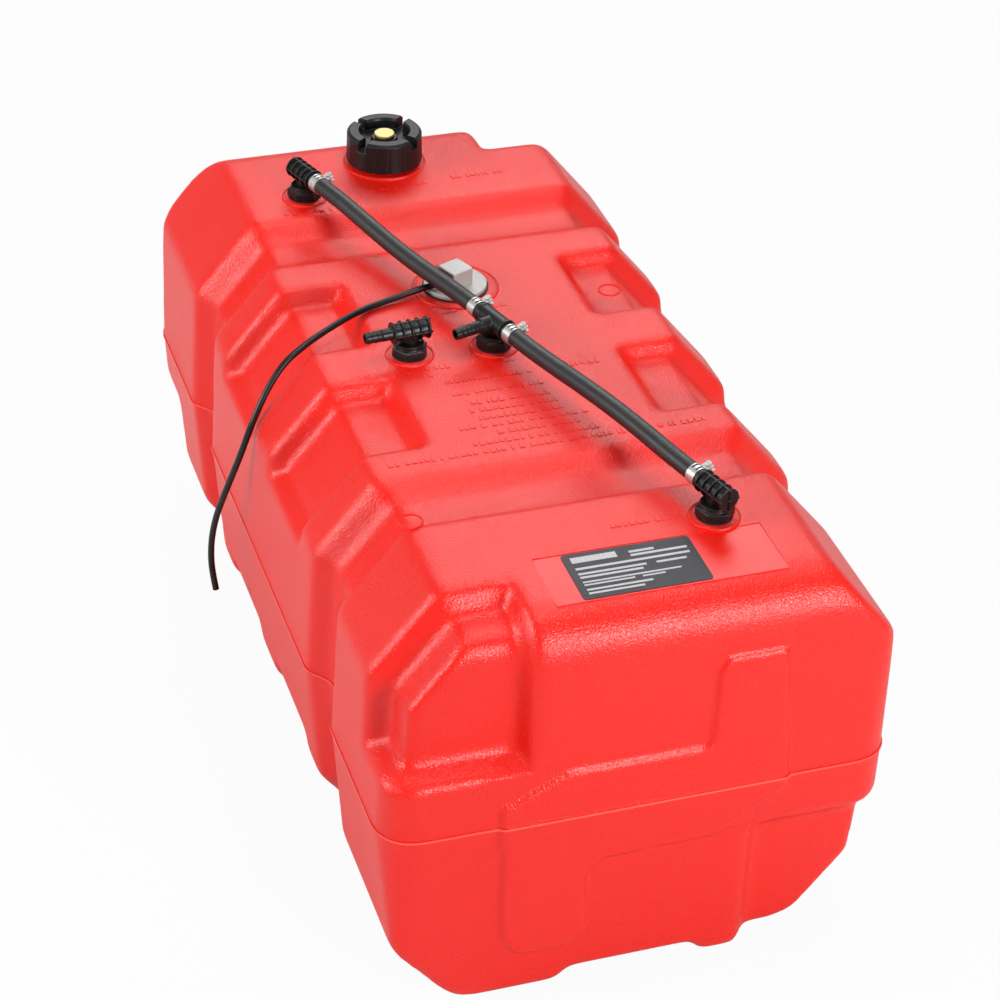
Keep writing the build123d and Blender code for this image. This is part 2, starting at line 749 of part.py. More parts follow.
export(cap_place * filler_cap(), "filler_cap", BLACK)
export(cap_place * ring(neck_outer + thread_gap - gasket_gap, neck_bore, neck_rim, deck_low), "cap_gasket", RUBBER)
export(cap_place * ring(liner_radius, liner_bore, deck_low - liner_thickness, deck_low), "cap_liner", BLACK)
export(cap_place * relief_valve(), "relief_valve", BRASS)
export(cap_place * ring(valve_seal_radius, valve_stem_radius + 0.3, boss_top, valve_low), "relief_seal", RUBBER)
export(cap_place * relief_spring(), "relief_spring", STEEL)

export(sender_place * sender_head(), "sender_head", ALLOY)
export(sender_place * ring(gasket_radius, sender_port_radius + 0.3, pad_height, flange_low), "sender_gasket", RUBBER)
export(sender_place * sender_insert(), "sender_insert", BLACK)
export(Pos(sender_x, sender_y, 0) * cylinder(stem_radius, stem_low, middle_top + plug_low + stem_socket),
       "sender_stem", ALLOY)
clip_low = stem_low + 2
float_low = clip_low + clip_thickness + clip_gap
export(Pos(sender_x, sender_y, 0) * ring(clip_radius, stem_radius, clip_low, clip_low + clip_thickness),
       "sender_clip", BLACK)
level_float = ring(float_radius, stem_radius + float_bore_clearance, float_low, float_low + float_height)
level_float = fillet(level_float.edges().filter_by(GeomType.CIRCLE).sort_by(SortBy.RADIUS)[-2:], 3.0)
export(Pos(sender_x, sender_y, 0) * level_float, "sender_float", BLACK)

tube_top = middle_top + seat_level - thread_length + pickup_socket
export(Pos(fuel_x, fuel_y, 0) * ring(pickup_radius, pickup_bore, strainer_low + 6, tube_top), "pickup_tube", BLACK)
export(Pos(fuel_x, fuel_y, 0) * strainer(), "pickup_strainer", ALLOY)

radii = corner_radii(cable_points)
cable_path = FilletPolyline(*cable_points, radius=radii)
cable = tube_along(cable_path, cable_radius)
export(cable, "sender_cable", BLACK)
print("cable bend radii", [round(r, 1) for r in radii])
print("cable length", round(cable_path.length, 2), "volume over section x length",
      round(cable.volume / (pi * cable_radius ** 2 * cable_path.length), 4))
print("hose lengths", [round(sum(path.length for path in hose_path(*ends)), 1) for ends in hose_ends.values()])
print("float travel", round(middle_top + plug_low - (float_low + float_height), 1))
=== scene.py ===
"""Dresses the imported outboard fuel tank: a red moulding with soft edges, and its fittings, hoses,
cap and sender."""

import json
import math
import random

import bpy
from bpy.props import FloatProperty, FloatVectorProperty, IntProperty, PointerProperty
from mathutils import Matrix, Vector

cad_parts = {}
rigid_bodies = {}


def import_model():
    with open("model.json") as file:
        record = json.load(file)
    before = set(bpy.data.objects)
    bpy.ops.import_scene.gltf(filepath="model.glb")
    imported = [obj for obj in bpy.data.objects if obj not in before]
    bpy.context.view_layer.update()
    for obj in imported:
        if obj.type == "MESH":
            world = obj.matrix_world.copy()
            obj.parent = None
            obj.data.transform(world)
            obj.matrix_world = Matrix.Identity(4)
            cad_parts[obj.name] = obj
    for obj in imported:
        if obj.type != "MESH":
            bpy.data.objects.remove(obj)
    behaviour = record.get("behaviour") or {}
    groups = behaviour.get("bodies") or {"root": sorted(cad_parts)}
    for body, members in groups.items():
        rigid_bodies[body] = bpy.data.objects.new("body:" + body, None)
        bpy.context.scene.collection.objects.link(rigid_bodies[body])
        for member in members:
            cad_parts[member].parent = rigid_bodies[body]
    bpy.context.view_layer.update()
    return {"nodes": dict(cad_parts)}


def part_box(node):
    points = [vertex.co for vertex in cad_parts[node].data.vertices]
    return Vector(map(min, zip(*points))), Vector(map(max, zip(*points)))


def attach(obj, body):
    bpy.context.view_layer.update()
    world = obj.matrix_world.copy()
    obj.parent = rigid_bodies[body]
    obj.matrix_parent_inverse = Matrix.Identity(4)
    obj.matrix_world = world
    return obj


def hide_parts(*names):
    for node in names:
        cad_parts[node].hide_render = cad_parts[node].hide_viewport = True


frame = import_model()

bl_info = {
    "name": "Outboard fuel tank",
    "version": (1, 0, 0),
    "blender": (4, 5, 0),
    "location": "3D View > Sidebar > Fuel tank",
    "description": "Builds a portable outboard fuel tank round its engineering model",
    "category": "Object",
}

MM = 0.001
made_materials = {}

# ---------------------------------------------------------------- places, in millimetres
END_TOP = 361.0
MIDDLE_TOP = 356.1
PARTING = 180.5
CAP_PLACE = (-325.7, -4.0, END_TOP)
SENDER_PLACE = (-98.3, -4.8, MIDDLE_TOP)
BLOCK_TURN = 22.6        # degrees, of the block on the sender's head
PORTS = {
    "rear_vent": (-278.0, -92.1, END_TOP),
    "front_vent": (290.2, 83.9, END_TOP),
    "tee": (2.8, -1.7, MIDDLE_TOP),
    "fuel": (-2.0, -73.9, MIDDLE_TOP),
}
PORT_BORE = 9.5
SENDER_BORE = 20.0
NECK_BORE = 23.5
NECK_OUTER = 28.0
NECK_HEIGHT = 16.5

# Radii of the round seats of the ports, the sender and the cap, and how much wider than them the
# engineering model's seats are cleared away.
PORT_SEAT = 20.8
SENDER_SEAT = 38.0
CAP_SEAT = 38.4
SEAT_MARGIN = 0.15

LABEL_SEAT = (307.0, 367.0, -69.0, 114.5)       # low X, high X, low Y, high Y
SEAT_TOP = 360.1
SEAT_BLOCK = 6           # height of the blocks that fill and cut the label's seat

BORE_OVERRUN = 0.012     # metres that the bores' walls are drawn out past the tops
SKIN_KEPT = 0.22         # share of the softened skin's faces that is kept

# Bands of the +X end that stay crisp: low Y, high Y, low and high Z over the parting line.
# The other end has the same ones, turned by half a turn.
END_BANDS = [(40, 120, -35, 130), (-122, 100, -55, 50), (-122, -38, -142, -40)]
END_PLACE = 386          # distance from the middle, along X, past which the bands are crisp
END_FADE = 12            # length before it over which they turn crisp
BAND_FADE = 8            # width round a band over which the skin turns soft

# Steps of the ridge along the parting line: share of its reach, and half its height.
RIDGE_STEPS = ((0.4, 1.1), (0.75, 0.85), (1.0, 0.5))
RIDGE_REACH = (399.6, 209.1)                    # how far out it may stand, along X and Y

RING_MARKS = [(235.8, -142.5, END_TOP), (-60.0, 123.1, MIDDLE_TOP)]
RING_PROFILE = [(8.5, -1), (10.1, -1), (10.1, 0.2), (9.3, 0.7), (8.5, 0.2)]

# Rows of low pads: X, first Y, last Y, and the height of the top that they stand on.
PAD_ROWS = [
    (47.5, -58.0, 23.0, MIDDLE_TOP), (66.5, -57.5, 20.5, MIDDLE_TOP),
    (82.5, -47.0, 21.5, MIDDLE_TOP), (94.3, -51.0, 27.0, MIDDLE_TOP),
    (106.0, -47.0, 25.0, MIDDLE_TOP), (117.0, -67.0, 44.0, MIDDLE_TOP),
    (128.8, -38.5, 31.5, MIDDLE_TOP), (141.0, -63.0, 42.5, MIDDLE_TOP),
    (153.0, -137.0, 132.0, MIDDLE_TOP), (23.5, -94.0, -47.0, MIDDLE_TOP),
    (33.5, -85.0, -62.0, MIDDLE_TOP), (27.0, -29.0, 14.0, MIDDLE_TOP),
    (46.8, 49.0, 75.5, MIDDLE_TOP), (-60.0, -37.0, -15.0, MIDDLE_TOP),
    (-41.0, -45.0, -27.0, MIDDLE_TOP), (-60.0, 17.0, 32.0, MIDDLE_TOP),
    (283.0, 2.0, 59.0, END_TOP), (-276.5, -31.0, -5.0, END_TOP),
    (-276.5, 8.0, 22.0, END_TOP), (-280.5, 47.0, 97.0, END_TOP),
    (-251.0, -118.0, -73.0, END_TOP),
]
PAD_LENGTHS = (1.8, 4.8)
PAD_HALF_WIDTHS = (2.0, 3.0)
PAD_GAPS = (1.7, 1.7, 2.0, 5.0)
PAD_HEIGHT = 0.65        # how far the pads stand out of the top, and how deep they are set in it
PAD_ROOT = 1.0
ROW_REST = 2             # a row stops once no more than this is left of it

# Pale bars on the label: distance from its low X edge, width, start and end.
LABEL_BARS = [
    (8.5, 7.0, 6.0, 42.0), (8.5, 2.6, 52.0, 72.0), (13.0, 2.6, 52.0, 97.0), (19.5, 2.6, 6.0, 97.0),
    (26.0, 2.4, 6.0, 60.0), (26.0, 2.4, 68.0, 92.0), (30.5, 2.4, 6.0, 56.0), (36.5, 1.8, 6.0, 84.0),
    (40.0, 1.8, 6.0, 46.0), (40.0, 1.8, 52.0, 70.0), (46.0, 2.2, 6.0, 58.0), (50.5, 2.2, 6.0, 50.0),
]
BAR_HEIGHT = 0.06        # how far the bars stand out of the label, and how deep they are set in it
BAR_ROOT = 0.1

# The two pieces of the sender plug's latch, about the sender's place: low and high X, Y and Z.
LATCH_LENGTHS = ((-9.8, -6.6), (-5.2, 9.8))
LATCH_WIDTH = (-14.4, -10.5)
LATCH_HEIGHT = (12.7, 17.7)

CABLE_ROUTE = [
    (-91.7, -21.7, 365.5), (-90.6, -37.6, 364.0), (-85.6, -67.3, 359.9), (-74.3, -99.2, 359.7),
    (-55.2, -134.4, 355.7), (-43.5, -155.5, 351.4), (-35.0, -173.0, 343.9), (-29.0, -186.7, 329.2),
    (-21.5, -199.1, 311.1), (-16.8, -207.9, 294.7), (-19.5, -215.4, 269.1), (-33.0, -225.3, 227.3),
    (-46.0, -231.3, 194.8), (-55.0, -234.4, 166.0), (-60.0, -234.9, 142.3), (-60.5, -234.0, 122.3),
    (-57.0, -231.9, 105.8),
]

# ---------------------------------------------------------------- camera and light, in metres
CAMERA_PLACE = (1.96265, -0.66371, 1.62830)
CAMERA_ANGLES = (71.065, 34.629, 2.123)         # degrees: azimuth, elevation and roll
CAMERA_LENS = 104.37

# Name, place, aim, width and height, and watts.
LAMPS = [
    ("key_softbox", (2.45, 0.80, 0.98), (0.3, 0.0, 0.3), (0.5, 0.8), 49.0),
    ("back_softbox", (-2.3, 0.9, 2.2), (0.0, 0.0, 0.3), (2.2, 1.2), 32.0),
    ("top_softbox", (0.0, 0.3, 2.8), (0.0, 0.0, 0.3), (1.2, 1.2), 25.0),
    ("left_softbox", (0.0, -2.8, 1.5), (0.0, 0.0, 0.2), (1.8, 1.0), 68.0),
]
AIR_STRENGTH = 0.20

# How bright the surroundings and the floor are to the camera, and in mirrors.
AIR_SEEN = (1.0, 0.42)
FLOOR_SEEN = (0.95, 0.10)


class TankSizes(bpy.types.PropertyGroup):
    moulding_voxel: FloatProperty(
        name="Moulding voxel", description="Cell size when the moulding's skin is softened",
        default=0.0024, min=0.002, max=0.01, subtype="DISTANCE", unit="LENGTH")
    edge_softness: IntProperty(
        name="Edge softness",
        description="How many smoothing passes round the edges of the moulding",
        default=44, min=0, max=80)
    parting_ridge: FloatProperty(
        name="Parting ridge", description="How far the ridge along the parting line stands out",
        default=0.0011, min=0.0, max=0.0012, subtype="DISTANCE", unit="LENGTH")
    cable_radius: FloatProperty(
        name="Cable radius", description="Half the thickness of the sender's cable",
        default=0.00285, min=0.001, max=0.005, subtype="DISTANCE", unit="LENGTH")
    grain_pitch: FloatProperty(
        name="Grain pitch", description="Distance between the pebbles of the plastic's grain",
        default=0.0014, min=0.0005, max=0.01, subtype="DISTANCE", unit="LENGTH")


class TankColours(bpy.types.PropertyGroup):
    tank_red: FloatVectorProperty(
        name="Tank red", description="Colour of the moulding", subtype="COLOR", size=3,
        default=(0.810, 0.010, 0.003), min=0.0, max=1.0)
    tank_red_deep: FloatVectorProperty(
        name="Tank red, deeper", description="Second colour in the moulding's slow variation",
        subtype="COLOR", size=3, default=(0.770, 0.007, 0.002), min=0.0, max=1.0)
    # Partly the paler plastic of the mould's flash, partly a painted highlight where the ridge
    # along the parting line catches the light.
    flash_and_highlight_line: FloatVectorProperty(
        name="Flash line and highlight", description="Paler colour of the ridge along the parting line",
        subtype="COLOR", size=3, default=(0.90, 0.10, 0.07), min=0.0, max=1.0)
    moulded_black: FloatVectorProperty(
        name="Moulded black", description="Colour of the elbows, tee and adapters", subtype="COLOR",
        size=3, default=(0.0065, 0.0063, 0.0067), min=0.0, max=1.0)
    hose_black: FloatVectorProperty(
        name="Hose rubber", description="Colour of the vent hoses", subtype="COLOR", size=3,
        default=(0.010, 0.0097, 0.0104), min=0.0, max=1.0)
    label_grey: FloatVectorProperty(
        name="Label grey", description="Colour of the bare label plate", subtype="COLOR", size=3,
        default=(0.022, 0.022, 0.027), min=0.0, max=1.0)
    brass: FloatVectorProperty(
        name="Brass", description="Colour of the relief valve", subtype="COLOR", size=3,
        default=(0.72, 0.54, 0.23), min=0.0, max=1.0)
    zinc: FloatVectorProperty(
        name="Bright zinc", description="Colour of the clamps and their screws", subtype="COLOR",
        size=3, default=(0.64, 0.63, 0.62), min=0.0, max=1.0)
    alloy: FloatVectorProperty(
        name="Alloy", description="Colour of the sender's head", subtype="COLOR", size=3,
        default=(0.50, 0.49, 0.47), min=0.0, max=1.0)
    floor: FloatVectorProperty(
        name="Floor", description="Colour of the floor and backdrop", subtype="COLOR", size=3,
        default=(0.62, 0.62, 0.62), min=0.0, max=1.0)


# ---------------------------------------------------------------- working by hand, in code
def deselect():
    for item in bpy.context.view_layer.objects:
        item.select_set(False)


def take(piece):
    """Makes a piece the only selected one, and the active one."""
    deselect()
    piece.select_set(True)
    bpy.context.view_layer.objects.active = piece
    return piece


def edit(piece, mode="FACE"):
    take(piece)
    bpy.ops.object.mode_set(mode="EDIT")
    bpy.ops.mesh.select_mode(type=mode)


def leave():
    bpy.ops.object.mode_set(mode="OBJECT")


def choose_faces(piece, test):
    """Selects the faces whose centre and normal pass the test, and nothing else."""
    edit(piece)
    bpy.ops.mesh.select_all(action="DESELECT")
    leave()
    for face in piece.data.polygons:
        face.select = test(face.center / MM, face.normal)
    bpy.ops.object.mode_set(mode="EDIT")


def modify(piece, kind, **settings):
    """Adds one modifier and applies it."""
    take(piece)
    bpy.ops.object.modifier_add(type=kind)
    modifier = piece.modifiers[-1]
    for key, value in settings.items():
        setattr(modifier, key, value)
    bpy.ops.object.modifier_apply(modifier=modifier.name)


def combine(piece, other, operation):
    modify(piece, "BOOLEAN", operation=operation, solver="MANIFOLD", object=other)
    bpy.data.objects.remove(other)


def copy_of(node, name):
    """A merged copy of a CAD node's mesh, as a new object."""
    take(frame["nodes"][node])
    bpy.ops.object.duplicate()
    piece = bpy.context.view_layer.objects.active
    piece.parent = None
    for key in list(piece.keys()):
        del piece[key]
    piece.name = name
    piece.data.name = name
    piece.data.materials.clear()
    take(piece)
    bpy.ops.mesh.customdata_custom_splitnormals_clear()
    edit(piece)
    bpy.ops.mesh.select_all(action="SELECT")
    bpy.ops.mesh.remove_doubles(threshold=2e-6)
    leave()
    return piece


def parts_of(piece):
    """Splits a piece into its loose shells."""
    edit(piece)
    bpy.ops.mesh.select_all(action="SELECT")
    bpy.ops.mesh.separate(type="LOOSE")
    leave()
    return list(bpy.context.selected_objects)


def join(pieces):
    take(pieces[0])
    for piece in pieces:
        piece.select_set(True)
    bpy.ops.object.join()
    return pieces[0]


def farthest(piece, axis):
    """How far a piece extends along an axis."""
    return max(vertex.co[axis] for vertex in piece.data.vertices)


def lathe(name, profile, place, steps=96):
    """Turns a closed profile of (radius, height) points, in millimetres, round an upright axis."""
    mesh = bpy.data.meshes.new(name)
    points = [(r * MM, 0.0, z * MM) for r, z in profile]
    count = len(points)
    mesh.from_pydata(points, [(i, (i + 1) % count) for i in range(count)], [])
    piece = bpy.data.objects.new(name, mesh)
    bpy.context.scene.collection.objects.link(piece)
    edit(piece, "EDGE")
    bpy.ops.mesh.select_all(action="SELECT")
    bpy.ops.mesh.spin(steps=steps, angle=2 * math.pi, center=(0, 0, 0), axis=(0, 0, 1))
    bpy.ops.mesh.select_all(action="SELECT")
    bpy.ops.mesh.remove_doubles(threshold=1e-7)
    bpy.ops.mesh.normals_make_consistent(inside=False)
    leave()
    mesh.transform(Matrix.Translation(Vector(place) * MM))
    return piece


def block_between(name, low, high):
    """A block between two corners, in millimetres."""
    centre = [(a + b) / 2 * MM for a, b in zip(low, high)]
    lengths = [(b - a) * MM for a, b in zip(low, high)]
    bpy.ops.mesh.primitive_cube_add(size=1, location=centre, scale=lengths)
    piece = bpy.context.view_layer.objects.active
    piece.name = name
    bpy.ops.object.transform_apply(location=True, rotation=True, scale=True)
    return piece


def shade(piece, angle=35):
    take(piece)
    bpy.ops.object.shade_smooth_by_angle(angle=math.radians(angle))


def finish_piece(piece, body, slot, nodes, *materials):
    piece.data.materials.clear()
    for material in materials:
        piece.data.materials.append(material)
    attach(piece, body)
    if nodes:
        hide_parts(*nodes)


def dress(material, *nodes):
    """Gives a material to CAD nodes that are shown as they are."""
    for node in nodes:
        piece = frame["nodes"][node]
        piece.data.materials.clear()
        piece.data.materials.append(material)


# ---------------------------------------------------------------- materials
class Finish:
    """A material under construction: a Principled shader and short ways to add nodes to it."""

    def __init__(self, name, **sockets):
        self.material = bpy.data.materials.new(name)
        self.material.use_nodes = True
        self.nodes = self.material.node_tree.nodes
        self.links = self.material.node_tree.links
        self.shader = self.nodes["Principled BSDF"]
        self.where = self.add("ShaderNodeTexCoord").outputs["Object"]
        for key, value in sockets.items():
            self.shader.inputs[key.replace("_", " ")].default_value = value
        made_materials[name] = self.material

    def add(self, kind, **settings):
        node = self.nodes.new(kind)
        for key, value in settings.items():
            if hasattr(node, key):
                setattr(node, key, value)
            else:
                node.inputs[key.replace("_", " ")].default_value = value
        return node

    def link(self, source, target):
        self.links.new(source, target)

    def noise(self, scale, detail=2.0, roughness=0.5, source=None):
        node = self.add("ShaderNodeTexNoise", Scale=scale, Detail=detail, Roughness=roughness)
        self.link(source or self.where, node.inputs["Vector"])
        return node.outputs["Fac"]

    def stretched(self, x, y, z):
        node = self.add("ShaderNodeMapping")
        node.inputs["Scale"].default_value = (x, y, z)
        self.link(self.where, node.inputs["Vector"])
        return node.outputs["Vector"]

    def range(self, source, low, high, start=0.3, end=0.7):
        node = self.add("ShaderNodeMapRange", From_Min=start, From_Max=end, To_Min=low, To_Max=high)
        self.link(source, node.inputs["Value"])
        return node.outputs["Result"]

    def mix(self, factor, first, second):
        node = self.add("ShaderNodeMix", data_type="RGBA")
        self.link(factor, node.inputs[0])
        node.inputs[6].default_value = (*first, 1.0)
        node.inputs[7].default_value = (*second, 1.0)
        return node.outputs[2]

    def blend(self, factor, first, second):
        """A mix of a colour from a node with a plain one."""
        node = self.add("ShaderNodeMix", data_type="RGBA")
        self.link(factor, node.inputs[0])
        self.link(first, node.inputs[6])
        node.inputs[7].default_value = (*second, 1.0)
        return node.outputs[2]

    def near_height(self, height, half):
        """One inside a band about a height over the floor, nought elsewhere."""
        parts = self.add("ShaderNodeSeparateXYZ")
        self.link(self.where, parts.inputs[0])
        node = self.add("ShaderNodeMath", operation="COMPARE")
        self.link(parts.outputs["Z"], node.inputs[0])
        node.inputs[1].default_value = height
        node.inputs[2].default_value = half
        return node.outputs[0]

    def sum(self, first, second, share=0.5):
        node = self.add("ShaderNodeMath", operation="MULTIPLY_ADD")
        self.link(first, node.inputs[0])
        node.inputs[1].default_value = share
        self.link(second, node.inputs[2])
        return node.outputs[0]

    def colour(self, source):
        self.link(source, self.shader.inputs["Base Color"])

    def rough(self, source):
        self.link(source, self.shader.inputs["Roughness"])

    def mottled(self, noise, first, second, *limits):
        """Base colour that drifts between two colours."""
        self.colour(self.mix(self.range(noise, 0.0, 1.0, *limits), first, second))

    def uneven(self, noise, low, high, *limits):
        """Roughness that drifts between two values."""
        self.rough(self.range(noise, low, high, *limits))

    def bump(self, source, strength, distance):
        node = self.add("ShaderNodeBump", Strength=strength, Distance=distance)
        self.link(source, node.inputs["Height"])
        self.link(node.outputs["Normal"], self.shader.inputs["Normal"])


def scaled(colour, factor):
    """A lighter or darker tint of a colour."""
    return tuple(min(1.0, channel * factor) for channel in colour)


def red_plastic(name, specular):
    """Translucent red plastic, which lets a little light in under its skin."""
    return Finish(name, Specular_IOR_Level=specular, Subsurface_Weight=0.15,
                  Subsurface_Scale=0.005, Subsurface_Radius=(1.0, 0.12, 0.06))


def pebbled_red_plastic(sizes, colours):
    finish = red_plastic("pebbled_red_plastic", 0.48)
    clouds = finish.range(finish.noise(5.0, 2.0), 0.0, 1.0, 0.0, 1.0)
    red = finish.mix(clouds, colours.tank_red, colours.tank_red_deep)
    # A paler band round the parting height: partly the flash's paler plastic, partly a painted
    # highlight of the ridge.
    parting = finish.near_height(PARTING * MM, 0.0009)
    finish.colour(finish.blend(parting, red, colours.flash_and_highlight_line))
    finish.uneven(finish.noise(30.0, 1.0), 0.280, 0.325, 0.0, 1.0)
    pebbles = finish.range(finish.noise(1.0 / sizes.grain_pitch, 1.0), 0.0, 1.0, 0.1, 0.9)
    grit = finish.noise(2.6 / sizes.grain_pitch, 1.0)
    finish.bump(finish.sum(grit, pebbles, 0.12), 1.0, 0.00044)
    return finish.material


def smooth_red_plastic(sizes, colours):
    finish = red_plastic("smooth_red_plastic", 0.45)
    finish.mottled(finish.noise(5.0, 2.0), colours.tank_red, colours.tank_red_deep, 0.0, 1.0)
    finish.uneven(finish.noise(30.0, 1.0), 0.29, 0.36, 0.0, 1.0)
    finish.bump(finish.noise(1.0 / sizes.grain_pitch, 3.0), 1.0, 0.00008)
    return finish.material


def moulded_black_plastic(colours, name="moulded_black_plastic", roughness=(0.285, 0.36)):
    finish = Finish(name, Specular_IOR_Level=0.30)
    finish.mottled(finish.noise(120.0, 3.0), colours.moulded_black,
                   scaled(colours.moulded_black, 1.7))
    finish.uneven(finish.noise(400.0, 3.0), *roughness)
    finish.bump(finish.noise(1400.0, 3.0), 0.5, 0.00004)
    return finish.material


def vent_hose_rubber(colours):
    finish = Finish("vent_hose_rubber", Specular_IOR_Level=0.5)
    finish.mottled(finish.noise(70.0, 5.0, 0.65), colours.hose_black,
                   scaled(colours.hose_black, 1.6))
    finish.uneven(finish.noise(220.0, 4.0), 0.36, 0.50)
    weave = finish.sum(finish.noise(2600.0, 2.0), finish.noise(500.0, 4.0), 0.6)
    finish.bump(weave, 0.6, 0.00008)
    return finish.material


def soft_seal_rubber():
    finish = Finish("soft_seal_rubber", Specular_IOR_Level=0.3)
    finish.mottled(finish.noise(150.0, 3.0), (0.012, 0.012, 0.012), (0.022, 0.021, 0.021))
    finish.uneven(finish.noise(600.0, 2.0), 0.55, 0.75)
    finish.bump(finish.noise(1500.0, 3.0), 0.5, 0.00005)
    return finish.material


def cable_jacket():
    finish = Finish("cable_jacket", Specular_IOR_Level=0.35)
    finish.mottled(finish.noise(90.0, 3.0), (0.004, 0.004, 0.004), (0.008, 0.008, 0.0085))
    finish.uneven(finish.noise(260.0, 3.0), 0.285, 0.35)
    finish.bump(finish.noise(900.0, 3.0), 0.5, 0.00004)
    return finish.material


def zinc_plated_steel(colours):
    finish = Finish("zinc_plated_steel", Metallic=0.85)
    finish.mottled(finish.noise(250.0, 4.0), colours.zinc, scaled(colours.zinc, 0.82))
    finish.uneven(finish.noise(800.0, 3.0), 0.30, 0.42)
    finish.bump(finish.noise(2400.0, 2.0), 0.5, 0.00001)
    return finish.material


def turned_brass(colours):
    finish = Finish("turned_brass", Metallic=0.8)
    finish.mottled(finish.noise(200.0, 3.0), colours.brass, scaled(colours.brass, 0.9))
    finish.uneven(finish.noise(900.0, 3.0), 0.38, 0.52)
    finish.bump(finish.noise(2600.0, 2.0), 0.5, 0.00001)
    return finish.material


def brushed_alloy(colours):
    finish = Finish("brushed_alloy", Metallic=0.6)
    grain = finish.noise(1.0, 4.0, 0.6, finish.stretched(60.0, 2200.0, 900.0))
    finish.mottled(grain, colours.alloy, scaled(colours.alloy, 0.88))
    finish.uneven(grain, 0.52, 0.64)
    finish.bump(grain, 0.5, 0.00002)
    return finish.material


def label_film(colours):
    finish = Finish("label_film", Specular_IOR_Level=0.30)
    finish.mottled(finish.noise(80.0, 3.0), colours.label_grey, scaled(colours.label_grey, 1.15))
    finish.uneven(finish.noise(300.0, 3.0), 0.40, 0.50)
    finish.bump(finish.noise(1600.0, 2.0), 0.5, 0.00001)
    return finish.material


def label_pale_ink():
    finish = Finish("label_pale_ink")
    finish.mottled(finish.noise(900.0, 3.0), (0.55, 0.55, 0.57), (0.42, 0.42, 0.44))
    finish.uneven(finish.noise(1200.0, 2.0), 0.45, 0.55)
    return finish.material


# ---------------------------------------------------------------- camera, cable
def place_camera():
    azimuth, elevation, roll = (math.radians(v) for v in CAMERA_ANGLES)
    back = Vector((math.sin(azimuth) * math.cos(elevation),
                   -math.cos(azimuth) * math.cos(elevation), math.sin(elevation)))
    right = (-back).cross(Vector((0, 0, 1))).normalized()
    up = right.cross(-back)
    turned_right = right * math.cos(roll) + up * math.sin(roll)
    turned_up = up * math.cos(roll) - right * math.sin(roll)
    bpy.ops.object.camera_add()
    camera = bpy.context.view_layer.objects.active
    camera.name = "tank_camera"
    camera.data.sensor_width = 36.0
    camera.data.lens = CAMERA_LENS
    camera.data.clip_start = 0.05
    camera.data.clip_end = 30.0
    turn = Matrix((turned_right, turned_up, back)).transposed().to_4x4()
    camera.matrix_world = Matrix.Translation(CAMERA_PLACE) @ turn
    bpy.context.scene.camera = camera


def lay_cable(sizes):
    curve = bpy.data.curves.new("sender_lead", "CURVE")
    curve.dimensions = "3D"
    spline = curve.splines.new("NURBS")
    spline.points.add(len(CABLE_ROUTE) - 1)
    for point, place in zip(spline.points, CABLE_ROUTE):
        point.co = (*(v * MM for v in place), 1.0)
    spline.order_u = 3
    spline.use_endpoint_u = True
    spline.resolution_u = 12
    curve.bevel_depth = sizes.cable_radius
    curve.bevel_resolution = 6
    curve.use_fill_caps = True
    lead = bpy.data.objects.new("sender_lead", curve)
    bpy.context.scene.collection.objects.link(lead)
    curve.materials.append(cable_jacket())
    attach(lead, "tank")
    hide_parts("sender_cable")


# ---------------------------------------------------------------- moulding
def round_place(place, radius, low, high):
    """A test for faces near an upright axis, between two heights over the place."""
    x, y, z = place

    def test(centre, normal):
        near = (centre.x - x) ** 2 + (centre.y - y) ** 2 < radius ** 2
        return near and low < centre.z - z < high
    return test


def bore_wall(centre, normal):
    """Faces of the holes for the ports, the sender and the cap."""
    if abs(normal.z) > 0.1:
        return False
    bores = [(place, PORT_BORE) for place in PORTS.values()]
    bores += [(SENDER_PLACE, SENDER_BORE), (CAP_PLACE, NECK_BORE)]
    for (x, y, z), radius in bores:
        if centre.z > z - 40 and abs(math.hypot(centre.x - x, centre.y - y) - radius) < 0.25:
            return True
    return False


def seat_detail(centre, normal):
    """Faces of the round seats and the neck, which are made crisp later."""
    tests = [round_place(place, PORT_SEAT + SEAT_MARGIN, 0.02, 3) for place in PORTS.values()]
    tests += [round_place(SENDER_PLACE, SENDER_SEAT + SEAT_MARGIN, 0.02, 3),
              round_place(CAP_PLACE, CAP_SEAT + SEAT_MARGIN, 0.02, 30)]
    return any(test(centre, normal) for test in tests)


def softness(x, y, z):
    """How freely a point of the skin is smoothed: not at all on an end band, fully elsewhere."""
    if x < 0:
        y = -y
    away = min(max(low_y - y, y - high_y, low_z - z + PARTING, z - PARTING - high_z)
               for low_y, high_y, low_z, high_z in END_BANDS)
    return min(1.0, max(0.0, (END_PLACE - abs(x)) / END_FADE, away / BAND_FADE))


def split_moulding():
    """The CAD moulding's outer skin, and its cavity with the bores run out past the tops."""
    skin = copy_of("tank_body", "tank_moulding")
    choose_faces(skin, bore_wall)
    bpy.ops.mesh.separate(type="SELECTED")
    leave()
    bores = [item for item in bpy.context.selected_objects if item != skin][0]
    shells = sorted(parts_of(skin), key=lambda item: farthest(item, 0), reverse=True)
    skin, cavity = shells[0], shells[1]
    cavity = join([cavity, bores])
    edit(cavity, "EDGE")
    bpy.ops.mesh.select_all(action="SELECT")
    bpy.ops.mesh.remove_doubles(threshold=2e-6)
    bpy.ops.mesh.select_all(action="DESELECT")
    bpy.ops.mesh.select_non_manifold()
    bpy.ops.mesh.extrude_region_move(TRANSFORM_OT_translate={"value": (0, 0, BORE_OVERRUN)})
    bpy.ops.mesh.select_all(action="SELECT")
    bpy.ops.mesh.fill_holes(sides=0)
    bpy.ops.mesh.select_all(action="SELECT")
    bpy.ops.mesh.normals_make_consistent(inside=False)
    leave()
    return skin, cavity


